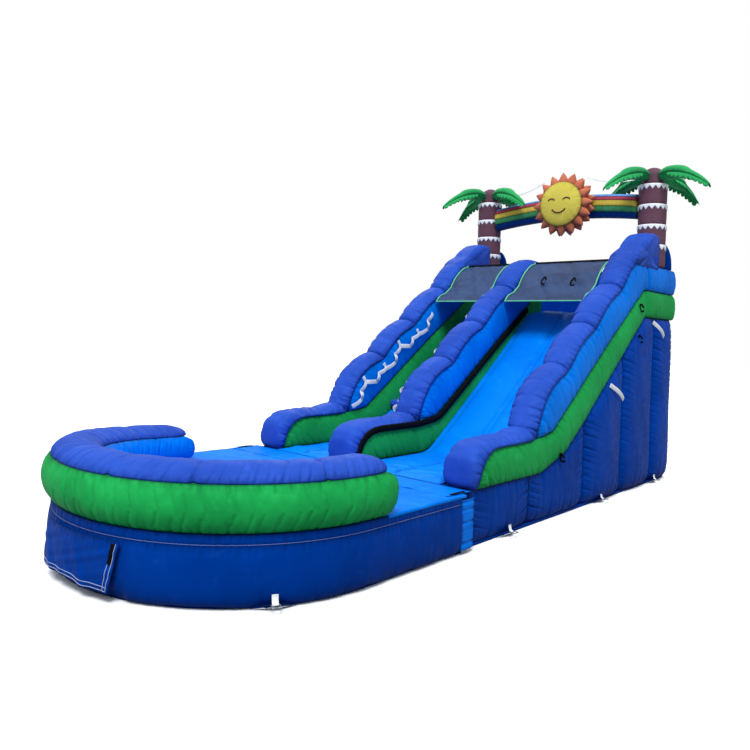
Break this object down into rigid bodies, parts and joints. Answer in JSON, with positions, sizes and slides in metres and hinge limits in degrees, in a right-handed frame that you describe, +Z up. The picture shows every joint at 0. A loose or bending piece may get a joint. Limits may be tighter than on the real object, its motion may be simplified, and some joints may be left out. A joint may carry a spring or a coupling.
{
  "type": "inflatable water slide",
  "caption": "Inflatable water slide with a climb lane, a slide lane, mesh canopies, palm and rainbow top, and a splash pool that unhooks at the front.",
  "frame": {"origin": "on the ground, at the middle of the slide unit's front edge, where the splash pool meets it", "axes": "+X to the slide lane's side, +Y from the pool back to the palms, +Z up"},
  "size_m": [4.2526, 8.0803, 4.231],
  "materials": {
    "deep_blue_vinyl": "satin",
    "royal_blue_vinyl": "satin",
    "light_blue_vinyl": "satin",
    "green_vinyl": "satin",
    "leaf_green_vinyl": "satin",
    "brown_vinyl": "satin",
    "white_vinyl": "satin",
    "yellow_vinyl": "satin",
    "red_vinyl": "satin",
    "sky_vinyl": "satin",
    "navy_vinyl": "satin",
    "sun_yellow_vinyl": "satin",
    "sun_orange_vinyl": "satin",
    "dark_mesh": "woven mesh",
    "mint_webbing": "woven",
    "white_webbing": "woven",
    "black_webbing": "woven",
    "zip_black": "matte",
    "ring_steel": "zinc plated",
    "blue_sleeve_fabric": "coated cloth"
  },
  "bodies": {
    "slide_unit": {"back_wall": "deep_blue_vinyl", "centre_strip": "black_webbing", "centre_wall_cap": "royal_blue_vinyl", "centre_wall_panel": "light_blue_vinyl", "centre_wall_tube": "green_vinyl", "climb_canopy": "dark_mesh", "climb_canopy_binding": "mint_webbing", "climb_ramp": "light_blue_vinyl", "climb_steps": "light_blue_vinyl", "connector_strips": "light_blue_vinyl", "handle_straps": "white_webbing", "inflation_sleeve": "blue_sleeve_fabric", "left_fronds": "leaf_green_vinyl", "left_trunk": "brown_vinyl", "left_wall_cap": "royal_blue_vinyl", "left_wall_panel": "light_blue_vinyl", "left_wall_tube": "green_vinyl", "main_body": "deep_blue_vinyl", "platform_floor": "light_blue_vinyl", "rainbow_green": "green_vinyl", "rainbow_navy": "navy_vinyl", "rainbow_red": "red_vinyl", "rainbow_sky": "sky_vinyl", "rainbow_yellow": "yellow_vinyl", "rear_fins": "deep_blue_vinyl", "rear_zip": "zip_black", "right_fronds": "leaf_green_vinyl", "right_trunk": "brown_vinyl", "right_wall_cap": "royal_blue_vinyl", "right_wall_panel": "light_blue_vinyl", "right_wall_tube": "green_vinyl", "slide_anchor_tabs": "deep_blue_vinyl", "slide_bed": "light_blue_vinyl", "slide_canopy": "dark_mesh", "slide_canopy_binding": "mint_webbing", "sun_disc": "sun_yellow_vinyl", "sun_rays": "sun_orange_vinyl", "sun_ties": "white_webbing", "trunk_bands": "white_vinyl", "upper_tethers": "white_webbing"},
    "splash_pool": {"pool_base": "deep_blue_vinyl", "pool_liner": "light_blue_vinyl", "bumper_outer": "green_vinyl", "bumper_inner": "light_blue_vinyl", "bumper_cap": "royal_blue_vinyl", "pool_anchor_tabs": "deep_blue_vinyl", "pool_zip": "zip_black"},
    "pool_zip_slider": {"pool_zip_slider": "zip_black"},
    "pool_zip_flap": {"pool_zip_flap": "deep_blue_vinyl"},
    "junction_cover": {"junction_cover": "light_blue_vinyl"},
    "rear_zip_slider": {"rear_zip_slider": "zip_black"},
    "rear_zip_flap": {"rear_zip_flap": "deep_blue_vinyl"},
    "pool_ring_1": {"pool_ring_1": "ring_steel"},
    "pool_ring_2": {"pool_ring_2": "ring_steel"},
    "slide_ring_1": {"slide_ring_1": "ring_steel"},
    "slide_ring_2": {"slide_ring_2": "ring_steel"},
    "slide_ring_3": {"slide_ring_3": "ring_steel"},
    "slide_ring_4": {"slide_ring_4": "ring_steel"},
    "slide_ring_5": {"slide_ring_5": "ring_steel"},
    "slide_ring_6": {"slide_ring_6": "ring_steel"}
  },
  "joints": [
    {"name": "pool_unhook", "type": "slide", "parent": "slide_unit", "child": "splash_pool", "axis": [0, -1, 0], "range_m": [0, 0.6]},
    {"name": "junction_cover_lift", "type": "hinge", "parent": "slide_unit", "child": "junction_cover", "pos_m": [0, -0.008, 0.499], "axis": [-1, 0, 0], "range_deg": [0, 90]},
    {"name": "rear_zip_slide", "type": "slide", "parent": "slide_unit", "child": "rear_zip_slider", "axis": [1, 0, 0], "range_m": [0, 0.74]},
    {"name": "rear_zip_flap_lift", "type": "hinge", "parent": "slide_unit", "child": "rear_zip_flap", "pos_m": [-0.75, 4.857, 0.36], "axis": [1, 0, 0], "range_deg": [0, 120]},
    {"name": "pool_zip_slide", "type": "hinge", "parent": "splash_pool", "child": "pool_zip_slider", "pos_m": [0, -1.3, 0.23], "axis": [0, 0, 1], "range_deg": [0, 26]},
    {"name": "pool_zip_flap_open", "type": "hinge", "parent": "splash_pool", "child": "pool_zip_flap", "pos_m": [-0.29289, -2.8068, 0.245], "axis": [0, 0, -1], "range_deg": [0, 110]},
    {"name": "slide_ring_1_swing", "type": "hinge", "parent": "slide_unit", "child": "slide_ring_1", "pos_m": [-1.495, 0.63, 0.045], "axis": [0, -1, 0], "range_deg": [-70, 40]},
    {"name": "slide_ring_2_swing", "type": "hinge", "parent": "slide_unit", "child": "slide_ring_2", "pos_m": [-1.495, 2.62, 0.045], "axis": [0, -1, 0], "range_deg": [-70, 40]},
    {"name": "slide_ring_3_swing", "type": "hinge", "parent": "slide_unit", "child": "slide_ring_3", "pos_m": [-1.495, 4.26, 0.045], "axis": [0, -1, 0], "range_deg": [-70, 40]},
    {"name": "slide_ring_4_swing", "type": "hinge", "parent": "slide_unit", "child": "slide_ring_4", "pos_m": [1.495, 0.63, 0.045], "axis": [0, 1, 0], "range_deg": [-70, 40]},
    {"name": "slide_ring_5_swing", "type": "hinge", "parent": "slide_unit", "child": "slide_ring_5", "pos_m": [1.495, 2.62, 0.045], "axis": [0, 1, 0], "range_deg": [-70, 40]},
    {"name": "slide_ring_6_swing", "type": "hinge", "parent": "slide_unit", "child": "slide_ring_6", "pos_m": [1.495, 4.26, 0.045], "axis": [0, 1, 0], "range_deg": [-70, 40]},
    {"name": "pool_ring_1_swing", "type": "hinge", "parent": "splash_pool", "child": "pool_ring_1", "pos_m": [-1.34429, -2.04515, 0.045], "axis": [0.4848, -0.8746, 0], "range_deg": [-70, 40]},
    {"name": "pool_ring_2_swing", "type": "hinge", "parent": "splash_pool", "child": "pool_ring_2", "pos_m": [1.34429, -2.04515, 0.045], "axis": [0.4848, 0.8746, 0], "range_deg": [-70, 40]}
  ]
}
